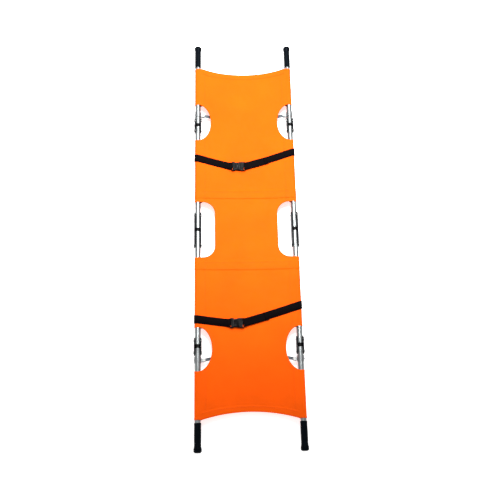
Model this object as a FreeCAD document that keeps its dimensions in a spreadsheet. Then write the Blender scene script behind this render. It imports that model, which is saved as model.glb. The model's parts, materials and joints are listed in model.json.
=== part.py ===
import FreeCAD
import Part
import Sketcher
import math
import os
import re

# A folding stretcher: two carrying poles with an orange cloth bed between them.
# Millimetres. +Z up, +Y towards the head end, +X across the bed; the origin is on
# the ground under the middle of the bed. Each pole is four tubes that fold under
# each other at three double-pivot links, and two spreader bars keep the poles apart.

SIZES = {
    # poles
    "pole_spacing": 470,
    "tube_radius": 14,
    "tube_wall": 2,
    "foot_drop": 24,
    "hinge_spacing": 570,
    "half_length": 1040,
    # plugs where two tubes butt
    "butt_gap": 0.15,
    "collar": 9,
    "spigot": 10,
    "spigot_radius": 11.9,
    # double-pivot links
    "end_pivot": 28,
    "mid_pivot": 77,
    "web_setback": 15,
    "plate_gap": 0.4,
    "plate_thickness": 3.2,
    "plate_radius": 13.6,
    "web_gap": 0.2,
    "web_thickness": 3,
    # pins and rivets
    "pin_radius": 4,
    "running_gap": 0.05,
    "head_radius": 6.5,
    "head_height": 2.5,
    "flat_head": 1.6,
    "edge_round": 0.6,
    "rivet_radius": 2.5,
    "rivet_head": 5,
    # spreader brackets
    "bracket_place": 632,
    "bracket_length": 28,
    "ring_wall": 2.5,
    "spreader_offset": 28,
    "lug_radius": 8,
    "slot_floor": 19.5,
    "tang_thickness": 5,
    "tang_length": 20,
    "tang_reach": 30,
    # spreader arms
    "arm_drop": 11,
    "arm_thickness": 5,
    "arm_width": 14,
    "arm_gap": 0.3,
    "ear_thickness": 4,
    "knuckle_drop": 44,
    "fork_length": 54,
    "fork_depth": 38,
    "stop_near": 8,
    "stop_far": 11,
    # feet
    "foot_width": 20,
    "foot_corner": 4,
    "foot_chamfer": 2,
    "foot_inner": 14,
    "foot_outer": 32,
    "foot_wrap": 11,
    "foot_slack": 0.2,
    # hand grips
    "grip_length": 128,
    "grip_radius": 16,
    "grip_lip": 1.2,
    "knob_radius": 18.5,
    "knob_length": 18,
    "knob_round": 6,
    "grip_cap": 5,
    # cloth bed
    "cloth_half": 900,
    "cloth_hollow": 33,
    "hollow_inset": 18,
    "cloth_thickness": 1.2,
    "cloth_gap": 0.3,
    "bed_centre": 3,
    "end_hole_length": 204,
    "end_hole_shift": 14,
    "end_hole_depth": 66,
    "mid_hole_length": 286,
    "mid_hole_depth": 83,
    "mid_hole_corner": 60,
    # webbing straps and their buckles
    "strap_width": 38,
    "strap_thickness": 2,
    "strap_gap": 0.4,
    "slit_slack": 0.3,
    "buckle_width": 46,
    "buckle_thickness": 12,
    "buckle_corner": 5,
    "buckle_level": 5.6,
    "socket_length": 42,
    "plug_length": 24,
    "buckle_split": 9,
    "bar_slot": 4,
    "bar_inset": 3,
    "prong_length": 22,
    "prong_outer": 16.5,
    "prong_inner": 12,
    "tongue_half": 4,
    "prong_wall": 3,
    "prong_gap": 0.3,
}

# Straps: where each leaves the left pole, where its buckle lies, where it reaches
# the right pole.
STRAPS = {
    "front": {"left_end": 379, "buckle": (-34, 334), "right_end": 408},
    "rear": {"left_end": -446, "buckle": (-54, -465), "right_end": -387},
}

SIDES = {"left": -1, "right": 1}
ENDS = {"front": 1, "rear": -1}

HALF_PITCH = "pole_spacing / 2"
AXIS_HEIGHT = "(tube_radius + foot_drop)"
PLATE_INSIDE = "(tube_radius + plate_gap)"
PLATE_OUTSIDE = "(tube_radius + plate_gap + plate_thickness)"
WEB_TOP = "(-tube_radius - web_gap)"
RING_RADIUS = "(tube_radius + ring_wall)"
HALF_SPAN = "(pole_spacing / 2 - spreader_offset)"
ARM_LENGTH = f"sqrt({HALF_SPAN} ^ 2 + knuckle_drop ^ 2)"
SLEEVE_INSIDE = "(tube_radius + cloth_gap)"
SLEEVE_OUTSIDE = "(tube_radius + cloth_gap + cloth_thickness)"
BED_SAG = "(tube_radius + cloth_gap + cloth_thickness / 2 - bed_centre)"
BED_RADIUS = f"(({HALF_PITCH}) ^ 2 + {BED_SAG} ^ 2) / (2 * {BED_SAG})"
HOLLOW_CHORD = "(pole_spacing / 2 - hollow_inset)"
HOLLOW_RADIUS = f"({HOLLOW_CHORD} ^ 2 + cloth_hollow ^ 2) / (2 * cloth_hollow)"
LOOP_INSIDE = f"({SLEEVE_OUTSIDE} + strap_gap)"
EAR_LOW = "(-arm_drop - arm_gap - ear_thickness)"
EAR_HIGH = "(-arm_drop + arm_thickness + arm_gap + ear_thickness)"

ALONG = {
    "x": FreeCAD.Rotation(FreeCAD.Vector(0, 1, 0), 90),
    "y": FreeCAD.Rotation(FreeCAD.Vector(1, 0, 0), -90),
    "z": FreeCAD.Rotation(),
}
BEYOND = "40"

doc = FreeCAD.newDocument("folding_stretcher")
sheet = doc.addObject("Spreadsheet::Sheet", "Sizes")
for row, (alias, number) in enumerate(SIZES.items(), 1):
    sheet.set(f"A{row}", alias)
    sheet.set(f"B{row}", str(number))
    sheet.setAlias(f"B{row}", alias)
doc.recompute()

nodes = {}


# ---------------------------------------------------------------- small helpers


def bound(text):
    """An expression in which each size's name points at its cell."""
    return re.sub(r"[a-z_]+", lambda m: f"Sizes.{m[0]}" if m[0] in SIZES else m[0], text)


def bind(item, **sizes):
    for name, text in sizes.items():
        item.setExpression(name, bound(text))


def stand(item, x="0", y="0", z="0", turn=FreeCAD.Rotation()):
    """Gives an object its place, bound to the sheet, and its turn."""
    item.Placement = FreeCAD.Placement(FreeCAD.Vector(), turn)
    for axis, text in zip("xyz", (x, y, z)):
        item.setExpression(f"Placement.Base.{axis}", bound(text))


def about_z(degrees):
    return FreeCAD.Rotation(FreeCAD.Vector(0, 0, 1), degrees)


def rod(name, radius, low, high, along, **centre):
    """A cylinder from low to high along an axis, centred where the other two say."""
    item = doc.addObject("Part::Cylinder", name)
    bind(item, Radius=radius, Height=f"({high}) - ({low})")
    place = {"x": "0", "y": "0", "z": "0"}
    place.update(centre)
    place[along] = low
    stand(item, turn=ALONG[along], **place)
    return item


def block(name, x, y, z):
    """A box between pairs of limits."""
    item = doc.addObject("Part::Box", name)
    sizes = [f"({high}) - ({low})" for low, high in (x, y, z)]
    bind(item, Length=sizes[0], Width=sizes[1], Height=sizes[2])
    stand(item, x[0], y[0], z[0])
    return item


def even(text):
    """Limits that lie evenly each side of zero."""
    return f"-({text})", text


def cut(name, base, *tools):
    for tool in tools:
        item = doc.addObject("Part::Cut", name)
        item.Base = base
        item.Tool = tool
        base = item
    return base


def fuse(name, *pieces):
    item = doc.addObject("Part::MultiFuse", name)
    item.Shapes = list(pieces)
    return item


def common(name, *pieces):
    item = doc.addObject("Part::MultiCommon", name)
    item.Shapes = list(pieces)
    return item


def group(name, *pieces):
    item = doc.addObject("Part::Compound", name)
    item.Links = list(pieces)
    return item


def on_end(edge, box, axis):
    """Whether an edge lies on one of a box's two faces across the axis X or Z."""
    low, high = getattr(edge.BoundBox, axis + "Min"), getattr(edge.BoundBox, axis + "Max")
    ends = (getattr(box, axis + "Min"), getattr(box, axis + "Max"))
    return high - low < 0.01 and any(abs(low - end) < 0.01 for end in ends)


def is_round(edge, radius):
    return hasattr(edge.Curve, "Radius") and abs(edge.Curve.Radius - radius) < 0.01


def eased(name, base, axis, spare_radius=0):
    """A piece with the edges at its two ends along an axis rounded off, but not its holes."""
    base.Refine = True
    doc.recompute()
    box = base.Shape.BoundBox
    item = doc.addObject("Part::Fillet", name)
    item.Base = base
    radius = SIZES["edge_round"]
    item.Edges = [
        (k, radius, radius)
        for k, edge in enumerate(base.Shape.Edges, 1)
        if on_end(edge, box, axis) and not is_round(edge, spare_radius)
    ]
    return item


def origin_plane(body, role):
    return next(f for f in body.Origin.OriginFeatures if f.Role == role)


def new_sketch(body, role):
    sketch = body.newObject("Sketcher::SketchObject", "Outline")
    sketch.AttachmentSupport = [(origin_plane(body, role), "")]
    sketch.MapMode = "FlatFace"
    return sketch


def constrain(sketch, name, text, *where):
    """A named distance or radius whose value is bound to the sheet."""
    number = sketch.addConstraint(Sketcher.Constraint(*where, 1.0))
    sketch.renameConstraint(number, name)
    sketch.setExpression(f"Constraints.{name}", bound(text))


def keep(item, label, x="0", y="0", z="0", turn=FreeCAD.Rotation()):
    """Names a finished sub-part and stands it in its place."""
    stand(item, x, y, z, turn)
    item.Label = label
    nodes[label] = item


# ---------------------------------------------------------------- sketched bodies


def arc(centre, radius, start, end):
    circle = Part.Circle(centre, FreeCAD.Vector(0, 0, 1), radius)
    return Part.ArcOfCircle(circle, math.radians(start), math.radians(end))


def rounded_plate(name, length, width, corner, thickness):
    """A rectangle with round corners, centred on the origin, padded upwards."""
    body = doc.addObject("PartDesign::Body", name)
    sketch = new_sketch(body, "XY_Plane")
    corners = [(1, 1, 0), (-1, 1, 90), (-1, -1, 180), (1, -1, 270)]
    for sx, sy, start in corners:
        sketch.addGeometry(arc(FreeCAD.Vector(sx * 10, sy * 8, 0), 2, start, start + 90))
    for k in range(4):
        begin = sketch.Geometry[k].EndPoint
        end = sketch.Geometry[(k + 1) % 4].StartPoint
        sketch.addGeometry(Part.LineSegment(begin, end))
    for k in range(4):
        sketch.addConstraint(Sketcher.Constraint("Tangent", k, 2, 4 + k, 1))
        sketch.addConstraint(Sketcher.Constraint("Tangent", 4 + k, 2, (k + 1) % 4, 1))
    for k in (1, 2, 3):
        sketch.addConstraint(Sketcher.Constraint("Equal", 0, k))
    for k in (4, 6):
        sketch.addConstraint(Sketcher.Constraint("Horizontal", k))
        sketch.addConstraint(Sketcher.Constraint("Vertical", k + 1))
    sketch.addConstraint(Sketcher.Constraint("Symmetric", 0, 3, 2, 3, -1, 1))
    constrain(sketch, "corner", corner, "Radius", 0)
    constrain(sketch, "across", f"({length}) - 2 * ({corner})", "DistanceX", 1, 3, 0, 3)
    constrain(sketch, "along", f"({width}) - 2 * ({corner})", "DistanceY", 3, 3, 0, 3)
    pad = body.newObject("PartDesign::Pad", "Slab")
    pad.Profile = sketch
    bind(pad, Length=thickness)
    body.Tip = pad
    return body


def bar_with_eyes(name, length, width, thickness, hole):
    """A flat bar with round ends and a hole in each, from the origin along +X."""
    body = doc.addObject("PartDesign::Body", name)
    sketch = new_sketch(body, "XY_Plane")
    far = FreeCAD.Vector(100, 0, 0)
    near = FreeCAD.Vector(0, 0, 0)
    sketch.addGeometry(arc(near, 7, 90, 270))
    sketch.addGeometry(arc(far, 7, 270, 450))
    sketch.addGeometry(Part.LineSegment(FreeCAD.Vector(0, -7, 0), FreeCAD.Vector(100, -7, 0)))
    sketch.addGeometry(Part.LineSegment(FreeCAD.Vector(100, 7, 0), FreeCAD.Vector(0, 7, 0)))
    sketch.addGeometry(Part.Circle(near, FreeCAD.Vector(0, 0, 1), 4))
    sketch.addGeometry(Part.Circle(far, FreeCAD.Vector(0, 0, 1), 4))
    for one, other in (((0, 2), (2, 1)), ((2, 2), (1, 1)), ((1, 2), (3, 1)), ((3, 2), (0, 1))):
        sketch.addConstraint(Sketcher.Constraint("Tangent", *one, *other))
    sketch.addConstraint(Sketcher.Constraint("Coincident", 0, 3, -1, 1))
    sketch.addConstraint(Sketcher.Constraint("Coincident", 4, 3, 0, 3))
    sketch.addConstraint(Sketcher.Constraint("Coincident", 5, 3, 1, 3))
    sketch.addConstraint(Sketcher.Constraint("PointOnObject", 1, 3, -1))
    sketch.addConstraint(Sketcher.Constraint("Equal", 0, 1))
    sketch.addConstraint(Sketcher.Constraint("Equal", 4, 5))
    constrain(sketch, "reach", length, "DistanceX", 0, 3, 1, 3)
    constrain(sketch, "end_radius", f"({width}) / 2", "Radius", 0)
    constrain(sketch, "hole_radius", hole, "Radius", 4)
    pad = body.newObject("PartDesign::Pad", "Bar")
    pad.Profile = sketch
    bind(pad, Length=thickness)
    body.Tip = pad
    return body


def turned_piece(name, outline):
    """A solid turned about the Y axis from an outline of (radius, place along)."""
    body = doc.addObject("PartDesign::Body", name)
    sketch = new_sketch(body, "XY_Plane")
    count = len(outline)
    rough = [FreeCAD.Vector(1 + k % 3, 1 + k, 0) for k in range(count)]
    for k in range(count):
        sketch.addGeometry(Part.LineSegment(rough[k], rough[(k + 1) % count]))
    for k in range(count):
        sketch.addConstraint(Sketcher.Constraint("Coincident", k, 2, (k + 1) % count, 1))
    for k, (radius, along) in enumerate(outline):
        for axis, text, line in (("X", radius, -2), ("Y", along, -1)):
            if text == "0":
                sketch.addConstraint(Sketcher.Constraint("PointOnObject", k, 1, line))
            else:
                constrain(sketch, f"{axis.lower()}{k}", text, f"Distance{axis}", -1, 1, k, 1)
    turn = body.newObject("PartDesign::Revolution", "Turned")
    turn.Profile = sketch
    turn.ReferenceAxis = (sketch, ["V_Axis"])
    turn.Angle = 360
    body.Tip = turn
    return body


def round_edges(body, radius, chosen, kind="PartDesign::Fillet"):
    """Fillets or chamfers the edges of a body that chosen picks."""
    doc.recompute()
    base = body.Tip
    names = [f"Edge{k}" for k, edge in enumerate(base.Shape.Edges, 1) if chosen(edge)]
    item = body.newObject(kind, "Softened")
    item.Base = (base, names)
    bind(item, **{"Radius" if kind.endswith("Fillet") else "Size": radius})
    body.Tip = item


# ---------------------------------------------------------------- poles


def tube(low, high, holes):
    """A pole tube along +Y with a cross hole at each place in holes."""
    outer = rod("Outer", "tube_radius", low, high, "y")
    inner = rod("Inner", "tube_radius - tube_wall", f"({low}) - 1", f"({high}) + 1", "y")
    drills = [rod("Drill", radius, *even(BEYOND), "x", y=place) for place, radius in holes]
    return cut("Tube", outer, inner, *drills)


def plug(pivot):
    """A tube's end plug: flat above its axis, rounded about its pivot below it."""
    collar = rod("Collar", "tube_radius", "butt_gap", "collar", "y")
    spigot = rod("Spigot", "spigot_radius", "collar", "collar + spigot", "y")
    half = "tube_radius + 1"
    lower = block("Lower", even(half), ("0", "collar"), (f"-({half})", "0"))
    swing = rod("Swing", f"{pivot} - butt_gap", *even(BEYOND), "x", y=pivot)
    return cut("Plug", fuse("Stopper", collar, spigot), cut("Nose", lower, swing))


def grip():
    outline = [
        ("tube_radius", "0"),
        ("grip_radius - grip_lip", "0"),
        ("grip_radius", "grip_lip"),
        ("grip_radius", "grip_length - knob_length - 4 * grip_lip"),
        ("knob_radius", "grip_length - knob_length"),
        ("knob_radius", "grip_length"),
        ("0", "grip_length"),
        ("0", "grip_length - grip_cap"),
        ("tube_radius", "grip_length - grip_cap"),
    ]
    body = turned_piece("Grip", outline)

    def on_rim(edge):
        at_end = abs(edge.BoundBox.YMin - SIZES["grip_length"]) < 0.01
        return at_end and abs(edge.BoundBox.XMax - SIZES["knob_radius"]) < 0.01

    round_edges(body, "knob_round", on_rim)
    return body


def foot():
    """A rubber block under the tube, moulded round the bracket's tang."""
    length = "foot_inner + foot_outer"
    height = f"{AXIS_HEIGHT} - foot_wrap"
    slab = rounded_plate("FootBlock", "foot_width", length, "foot_corner", height)
    round_edges(slab, "foot_chamfer", lambda e: e.BoundBox.ZMax < 0.01, "PartDesign::Chamfer")
    stand(slab, y="(foot_outer - foot_inner) / 2", z=f"-{AXIS_HEIGHT}")
    tube_bed = rod("TubeBed", "tube_radius", "-foot_inner - 1", "foot_outer + 1", "y")
    ring_bed = rod("RingBed", RING_RADIUS, "-foot_inner - 1", "bracket_length / 2", "y")
    tang = block(
        "TangPocket",
        even("tang_thickness / 2 + foot_slack"),
        even("tang_length / 2 + foot_slack"),
        ("-tang_reach - foot_slack", "0"),
    )
    lug = block(
        "LugRoom", even("foot_width"), even("lug_radius + foot_slack"), (f"{EAR_LOW} - foot_slack", "0")
    )
    return cut("Foot", slab, tube_bed, ring_bed, tang, lug)


def bracket():
    """A ring on the tube with a forked lug for a spreader arm and a tang for the foot."""
    half = "bracket_length / 2"
    ring = rod("Ring", RING_RADIUS, *even(half), "y")
    lug = block("Lug", ("0", "spreader_offset"), even("lug_radius"), (EAR_LOW, EAR_HIGH))
    nose = rod("Nose", "lug_radius", EAR_LOW, EAR_HIGH, "z", x="spreader_offset")
    tang = block(
        "Tang", even("tang_thickness / 2"), even("tang_length / 2"), ("-tang_reach", "0")
    )
    slot = block(
        "Slot",
        ("slot_floor", "spreader_offset + 2 * lug_radius"),
        even("2 * lug_radius"),
        ("-arm_drop - arm_gap", "-arm_drop + arm_thickness + arm_gap"),
    )
    bore = rod("Bore", "tube_radius", *even(half + " + 1"), "y")
    pin = rod("PinHole", "pin_radius", "-" + BEYOND, BEYOND, "z", x="spreader_offset")
    rivet = rod("RivetHole", "rivet_radius", "-" + BEYOND, "0", "x")
    return cut("Bracket", fuse("Casting", ring, lug, nose, tang), bore, slot, pin, rivet)


def arm_pin(x):
    """An upright pin with a flat head at each end, through two ears."""
    shank = rod("Shank", "pin_radius", EAR_LOW, EAR_HIGH, "z", x=x)
    lower_head = rod("Head", "head_radius", f"{EAR_LOW} - flat_head", EAR_LOW, "z", x=x)
    upper_head = rod("Head", "head_radius", EAR_HIGH, f"{EAR_HIGH} + flat_head", "z", x=x)
    return eased("ArmPin", fuse("ArmPinBlank", shank, lower_head, upper_head), "Z")


def bracket_fasteners():
    """The spreader pin, and the rivet that holds the ring."""
    pin = arm_pin("spreader_offset")
    stem = rod("Stem", "rivet_radius", f"-{RING_RADIUS}", "-tube_radius + 2 * tube_wall", "x")
    cap = rod("Cap", "rivet_head", f"-{RING_RADIUS} - flat_head", f"-{RING_RADIUS}", "x")
    return group("BracketFasteners", pin, fuse("Rivet", stem, cap))


# ---------------------------------------------------------------- links


def channel(pivot):
    """A channel that straddles both tube ends, with a web under them."""
    web_half = f"({pivot} - web_setback)"
    plate = block("Plate", even(PLATE_OUTSIDE), even(pivot), even("plate_radius"))
    ends = [
        rod("RoundEnd", "plate_radius", *even(PLATE_OUTSIDE), "x", y=place)
        for place in even(pivot)
    ]
    skirt = block(
        "Skirt", even(PLATE_OUTSIDE), even(web_half), (f"{WEB_TOP} - web_thickness", "0")
    )
    space = block(
        "Space", even(PLATE_INSIDE), even(f"{pivot} + {BEYOND}"), (WEB_TOP, BEYOND)
    )
    holes = [rod("PinHole", "pin_radius", *even(BEYOND), "x", y=place) for place in even(pivot)]
    trough = cut("ChannelBlank", fuse("Trough", plate, skirt, *ends), space, *holes)
    return eased("Channel", trough, "X", SIZES["pin_radius"])


def link_pins(pivot):
    """The two pivot pins of a link, each with two heads."""
    pins = []
    for place in even(pivot):
        shank = rod("Shank", "pin_radius", *even(PLATE_OUTSIDE), "x", y=place)
        heads = [
            rod("Head", "head_radius", low, high, "x", y=place)
            for low, high in (
                (f"-{PLATE_OUTSIDE} - head_height", f"-{PLATE_OUTSIDE}"),
                (PLATE_OUTSIDE, f"{PLATE_OUTSIDE} + head_height"),
            )
        ]
        pins.append(eased("LinkPin", fuse("LinkPinBlank", shank, *heads), "X"))
    return group("LinkPins", *pins)


# ---------------------------------------------------------------- spreaders


def eye_arm():
    return bar_with_eyes(
        "EyeArm", ARM_LENGTH, "arm_width", "arm_thickness", "pin_radius + running_gap"
    )


def fork_arm():
    """A spreader arm whose far end is a fork, closed on one side as the arms' stop."""
    half = "arm_width / 2"
    low = "(-arm_gap - ear_thickness)"
    high = "(arm_thickness + arm_gap + ear_thickness)"
    bar = bar_with_eyes(
        "ForkBar", ARM_LENGTH, "arm_width", "arm_thickness", "pin_radius + running_gap"
    )
    cheeks = block(
        "Cheeks", (f"{ARM_LENGTH} - fork_length", ARM_LENGTH), (f"-{half}", "stop_far"), (low, high)
    )
    nose = rod("Nose", "lug_radius", low, high, "z", x=ARM_LENGTH)
    slot = block(
        "Slot",
        (f"{ARM_LENGTH} - fork_depth", f"{ARM_LENGTH} + 2 * lug_radius"),
        ("-2 * lug_radius", "stop_near"),
        ("-arm_gap", "arm_thickness + arm_gap"),
    )
    pin = rod("PinHole", "pin_radius", f"-{BEYOND}", BEYOND, "z", x=ARM_LENGTH)
    return cut("ForkArm", fuse("ForkBlank", bar, cheeks, nose), slot, pin)


# ---------------------------------------------------------------- cloth and straps


def curved_shell(name, low, high, y):
    """The part of a hammock's curve between two heights above the bed's middle."""
    centre = f"bed_centre + {BED_RADIUS}"
    outer = rod("ShellOutside", f"{BED_RADIUS} - ({low})", *y, "y", z=centre)
    inner = rod("ShellInside", f"{BED_RADIUS} - ({high})", f"{y[0]} - 1", f"{y[1]} + 1", "y", z=centre)
    return cut(name, outer, inner)


def sleeve(y, inside, outside, x):
    outer = rod("SleeveOutside", outside, *y, "y", x=x)
    inner = rod("SleeveInside", inside, f"{y[0]} - 1", f"{y[1]} + 1", "y", x=x)
    return cut("Sleeve", outer, inner)


def end_hole(x):
    """A half-round hand hole beside an end link."""
    ellipse = doc.addObject("Part::Ellipse", "HoleOutline")
    bind(ellipse, MajorRadius="end_hole_length / 2", MinorRadius="end_hole_depth")
    stand(ellipse, x, "hinge_spacing + end_hole_shift", f"-{BEYOND}", about_z(90))
    hole = doc.addObject("Part::Extrusion", "HandHole")
    hole.Base = ellipse
    hole.Dir = FreeCAD.Vector(0, 0, 1)
    hole.Solid = True
    bind(hole, LengthFwd=f"2 * {BEYOND}")
    return hole


def mid_hole(x):
    """A hand hole with round corners beside a middle link."""
    hole = rounded_plate(
        "MiddleHole", "2 * mid_hole_depth", "mid_hole_length", "mid_hole_corner", f"2 * {BEYOND}"
    )
    stand(hole, x, "0", f"-{BEYOND}")
    return hole


def strap_slit(x, y):
    """The slit beside a sleeve that a strap's loop goes through."""
    reach = "strap_width / 2 + slit_slack"
    outside = f"{LOOP_INSIDE} + strap_thickness + slit_slack"
    inside = f"{LOOP_INSIDE} - slit_slack"
    return sleeve((f"{y} - ({reach})", f"{y} + {reach}"), inside, outside, x)


def cloth(low, high, slits=()):
    """One panel of the bed with a sleeve round each pole, between two places along +Y."""
    y = (low, high)
    spread = block("Spread", even(HALF_PITCH), y, even(BEYOND))
    half = "cloth_thickness / 2"
    bed = common("Bed", curved_shell("BedShell", f"-{half}", half, y), spread)
    sleeves = [sleeve(y, SLEEVE_INSIDE, SLEEVE_OUTSIDE, x) for x in even(HALF_PITCH)]
    bores = [
        rod("TubeSpace", SLEEVE_INSIDE, f"{low} - 1", f"{high} + 1", "y", x=x)
        for x in even(HALF_PITCH)
    ]
    holes = [make(x) for make in (end_hole, mid_hole) for x in even(HALF_PITCH)]
    holes += [strap_slit(x, y) for x, y in slits]
    hollow = rod(
        "Hollow", HOLLOW_RADIUS, f"-{BEYOND}", BEYOND, "z",
        y=f"cloth_half - cloth_hollow + {HOLLOW_RADIUS}",
    )
    return cut("Cloth", fuse("Panel", bed, *sleeves), *bores, *holes, hollow)


def strap_half(pole, buckle_edge):
    """Webbing from its loop round a pole to a buckle, lying on the bed."""
    (x0, y0), (x1, y1) = pole, buckle_edge
    turn = math.degrees(math.atan2(y1 - y0, x1 - x0))
    length = math.hypot(x1 - x0, y1 - y0)
    ribbon = block("Ribbon", ("0", str(length)), even("strap_width / 2"), even(BEYOND))
    ribbon.Placement.Rotation = about_z(turn)
    shift = about_z(turn).multVec(FreeCAD.Vector(0, -SIZES["strap_width"] / 2, 0))
    for axis, text in zip("xy", (str(x0 + shift.x), str(y0 + shift.y))):
        ribbon.setExpression(f"Placement.Base.{axis}", text)
    lift = "(cloth_thickness / 2 + strap_gap)"
    reach = (str(min(y0, y1) - 40), str(max(y0, y1) + 40))
    band = common("Band", curved_shell("StrapShell", lift, f"{lift} + strap_thickness", reach), ribbon)
    y = (f"{y0} - strap_width / 2", f"{y0} + strap_width / 2")
    loop = sleeve(y, LOOP_INSIDE, f"{LOOP_INSIDE} + strap_thickness", str(x0))
    return fuse("StrapHalf", band, loop)


def strap(left_end, buckle, right_end):
    """Both halves of a strap; they stop short of the buckle's bars."""
    half_pitch = SIZES["pole_spacing"] / 2
    bx, by = buckle
    spare = 6
    split = SIZES["buckle_split"]
    socket_edge = bx + split - SIZES["socket_length"] - spare
    plug_edge = bx + split + SIZES["plug_length"] + spare
    return group(
        "Strap",
        strap_half((-half_pitch, left_end), (socket_edge, by)),
        strap_half((half_pitch, right_end), (plug_edge, by)),
    )


def prong_walls(gap):
    """Limits in height of the plug's prongs, or of the socket's room for them."""
    return f"prong_wall + {gap}", f"buckle_thickness - prong_wall - {gap}"


def buckle_socket():
    """The receiving half, split plane at x = 0, its bar for the webbing at the far end."""
    slab = rounded_plate(
        "SocketSlab", "socket_length", "buckle_width", "buckle_corner", "buckle_thickness"
    )
    stand(slab, x="-socket_length / 2")
    reach = "-prong_length - 1"
    room = block("Room", (reach, "1"), even("prong_outer + prong_gap"), prong_walls("0"))
    window = block("Window", (f"{reach} + 6", "-8"), even("buckle_width"), prong_walls("0"))
    slot = block(
        "BarSlot",
        ("-socket_length + bar_inset", "-socket_length + bar_inset + bar_slot"),
        even("strap_width / 2 + 1"),
        ("-1", "buckle_thickness + 1"),
    )
    return cut("BuckleSocket", slab, room, window, slot)


def buckle_plug():
    """The entering half, with two prongs and a middle tongue."""
    slab = rounded_plate(
        "PlugSlab", "plug_length", "buckle_width", "buckle_corner", "buckle_thickness"
    )
    stand(slab, x="plug_length / 2 + prong_gap / 2")
    walls = prong_walls("prong_gap")
    root = "2 * buckle_corner"
    prongs = [
        block("Prong", ("-prong_length", root), y, walls)
        for y in (("prong_inner", "prong_outer"), ("-prong_outer", "-prong_inner"))
    ]
    tongue = block("Tongue", ("-prong_length + 4", root), even("tongue_half"), walls)
    slot = block(
        "BarSlot",
        ("plug_length - bar_inset - bar_slot", "plug_length - bar_inset"),
        even("strap_width / 2 + 1"),
        ("-1", "buckle_thickness + 1"),
    )
    return cut("BucklePlug", fuse("PlugBlank", slab, *prongs, tongue), slot)


# ---------------------------------------------------------------- the stretcher


def pole_pieces(side, end):
    """Everything on one quarter of the frame: an end tube, a middle tube and an end link."""
    quarter = f"{side}_{end}"
    x = f"{SIDES[side]} * {HALF_PITCH}"
    forward = ENDS[end]
    along = about_z(0 if forward > 0 else 180)
    inward = about_z(0 if SIDES[side] < 0 else 180)
    hinge = f"{forward} * hinge_spacing"
    at_bracket = f"{forward} * bracket_place"
    pivot_hole = "pin_radius + running_gap"

    end_tube = tube(
        "collar",
        "half_length - hinge_spacing - grip_cap",
        [("end_pivot", pivot_hole), ("bracket_place - hinge_spacing", "rivet_radius")],
    )
    keep(end_tube, f"{quarter}_end_tube", x, hinge, AXIS_HEIGHT, along)
    keep(plug("end_pivot"), f"{quarter}_end_plug", x, hinge, AXIS_HEIGHT, along)
    grip_place = f"{forward} * (half_length - grip_length)"
    keep(grip(), f"{quarter}_grip", x, grip_place, AXIS_HEIGHT, along)
    keep(foot(), f"{quarter}_foot", x, at_bracket, AXIS_HEIGHT, along)
    keep(bracket(), f"{quarter}_bracket", x, at_bracket, AXIS_HEIGHT, inward)
    keep(bracket_fasteners(), f"{quarter}_fasteners", x, at_bracket, AXIS_HEIGHT, inward)

    mid_tube = tube(
        "collar",
        "hinge_spacing - collar",
        [("mid_pivot", pivot_hole), ("hinge_spacing - end_pivot", pivot_hole)],
    )
    keep(mid_tube, f"{quarter}_mid_tube", x, "0", AXIS_HEIGHT, along)
    outer_plug = plug("end_pivot")
    stand(outer_plug, y="hinge_spacing", turn=about_z(180))
    mid_plugs = group("MidPlugs", plug("mid_pivot"), outer_plug)
    keep(mid_plugs, f"{quarter}_mid_plugs", x, "0", AXIS_HEIGHT, along)

    keep(channel("end_pivot"), f"{quarter}_link_channel", x, hinge, AXIS_HEIGHT)
    keep(link_pins("end_pivot"), f"{quarter}_link_pins", x, hinge, AXIS_HEIGHT)


def middle_link(side):
    x = f"{SIDES[side]} * {HALF_PITCH}"
    keep(channel("mid_pivot"), f"{side}_middle_link_channel", x, "0", AXIS_HEIGHT)
    keep(link_pins("mid_pivot"), f"{side}_middle_link_pins", x, "0", AXIS_HEIGHT)


def spreader(end):
    """Two arms that meet just past a straight line at a knuckle."""
    forward = ENDS[end]
    fork_side = "left" if forward > 0 else "right"
    eye_side = "right" if forward > 0 else "left"
    half_turn = 0 if forward > 0 else 180
    span = SIZES["pole_spacing"] / 2 - SIZES["spreader_offset"]
    lean = math.degrees(math.atan2(SIZES["knuckle_drop"], span))
    y = f"{forward} * bracket_place"
    level = f"{AXIS_HEIGHT} - arm_drop"
    fork_turn = about_z(-lean + half_turn)
    eye_turn = about_z(180 + lean + half_turn)
    keep(fork_arm(), f"{end}_{fork_side}_arm", f"{-forward} * {HALF_SPAN}", y, level, fork_turn)
    keep(eye_arm(), f"{end}_{eye_side}_arm", f"{forward} * {HALF_SPAN}", y, level, eye_turn)
    knuckle = f"{forward} * (bracket_place - knuckle_drop)"
    keep(arm_pin("0"), f"{end}_knuckle_pin", "0", knuckle, AXIS_HEIGHT)


def bed(end):
    along = about_z(0 if ENDS[end] > 0 else 180)
    seam = "cloth_gap"
    end_panel = cloth(f"hinge_spacing + {seam}", "cloth_half")
    keep(end_panel, f"{end}_end_cloth", z=AXIS_HEIGHT, turn=along)
    slits = [
        (f"{SIDES[side] * ENDS[end]} * {HALF_PITCH}", str(ENDS[end] * STRAPS[end][f"{side}_end"]))
        for side in SIDES
    ]
    mid_panel = cloth(seam, f"hinge_spacing - {seam}", slits)
    keep(mid_panel, f"{end}_mid_cloth", z=AXIS_HEIGHT, turn=along)


def strap_set(end):
    facts = STRAPS[end]
    x, y = facts["buckle"]
    split = f"{x} + buckle_split"
    level = f"{AXIS_HEIGHT} + buckle_level"
    keep(strap(**facts), f"{end}_strap", z=AXIS_HEIGHT)
    keep(buckle_socket(), f"{end}_buckle_socket", split, str(y), level)
    keep(buckle_plug(), f"{end}_buckle_plug", split, str(y), level)


for side in SIDES:
    for end in ENDS:
        pole_pieces(side, end)
    middle_link(side)
for end in ENDS:
    spreader(end)
    bed(end)
    strap_set(end)

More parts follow.
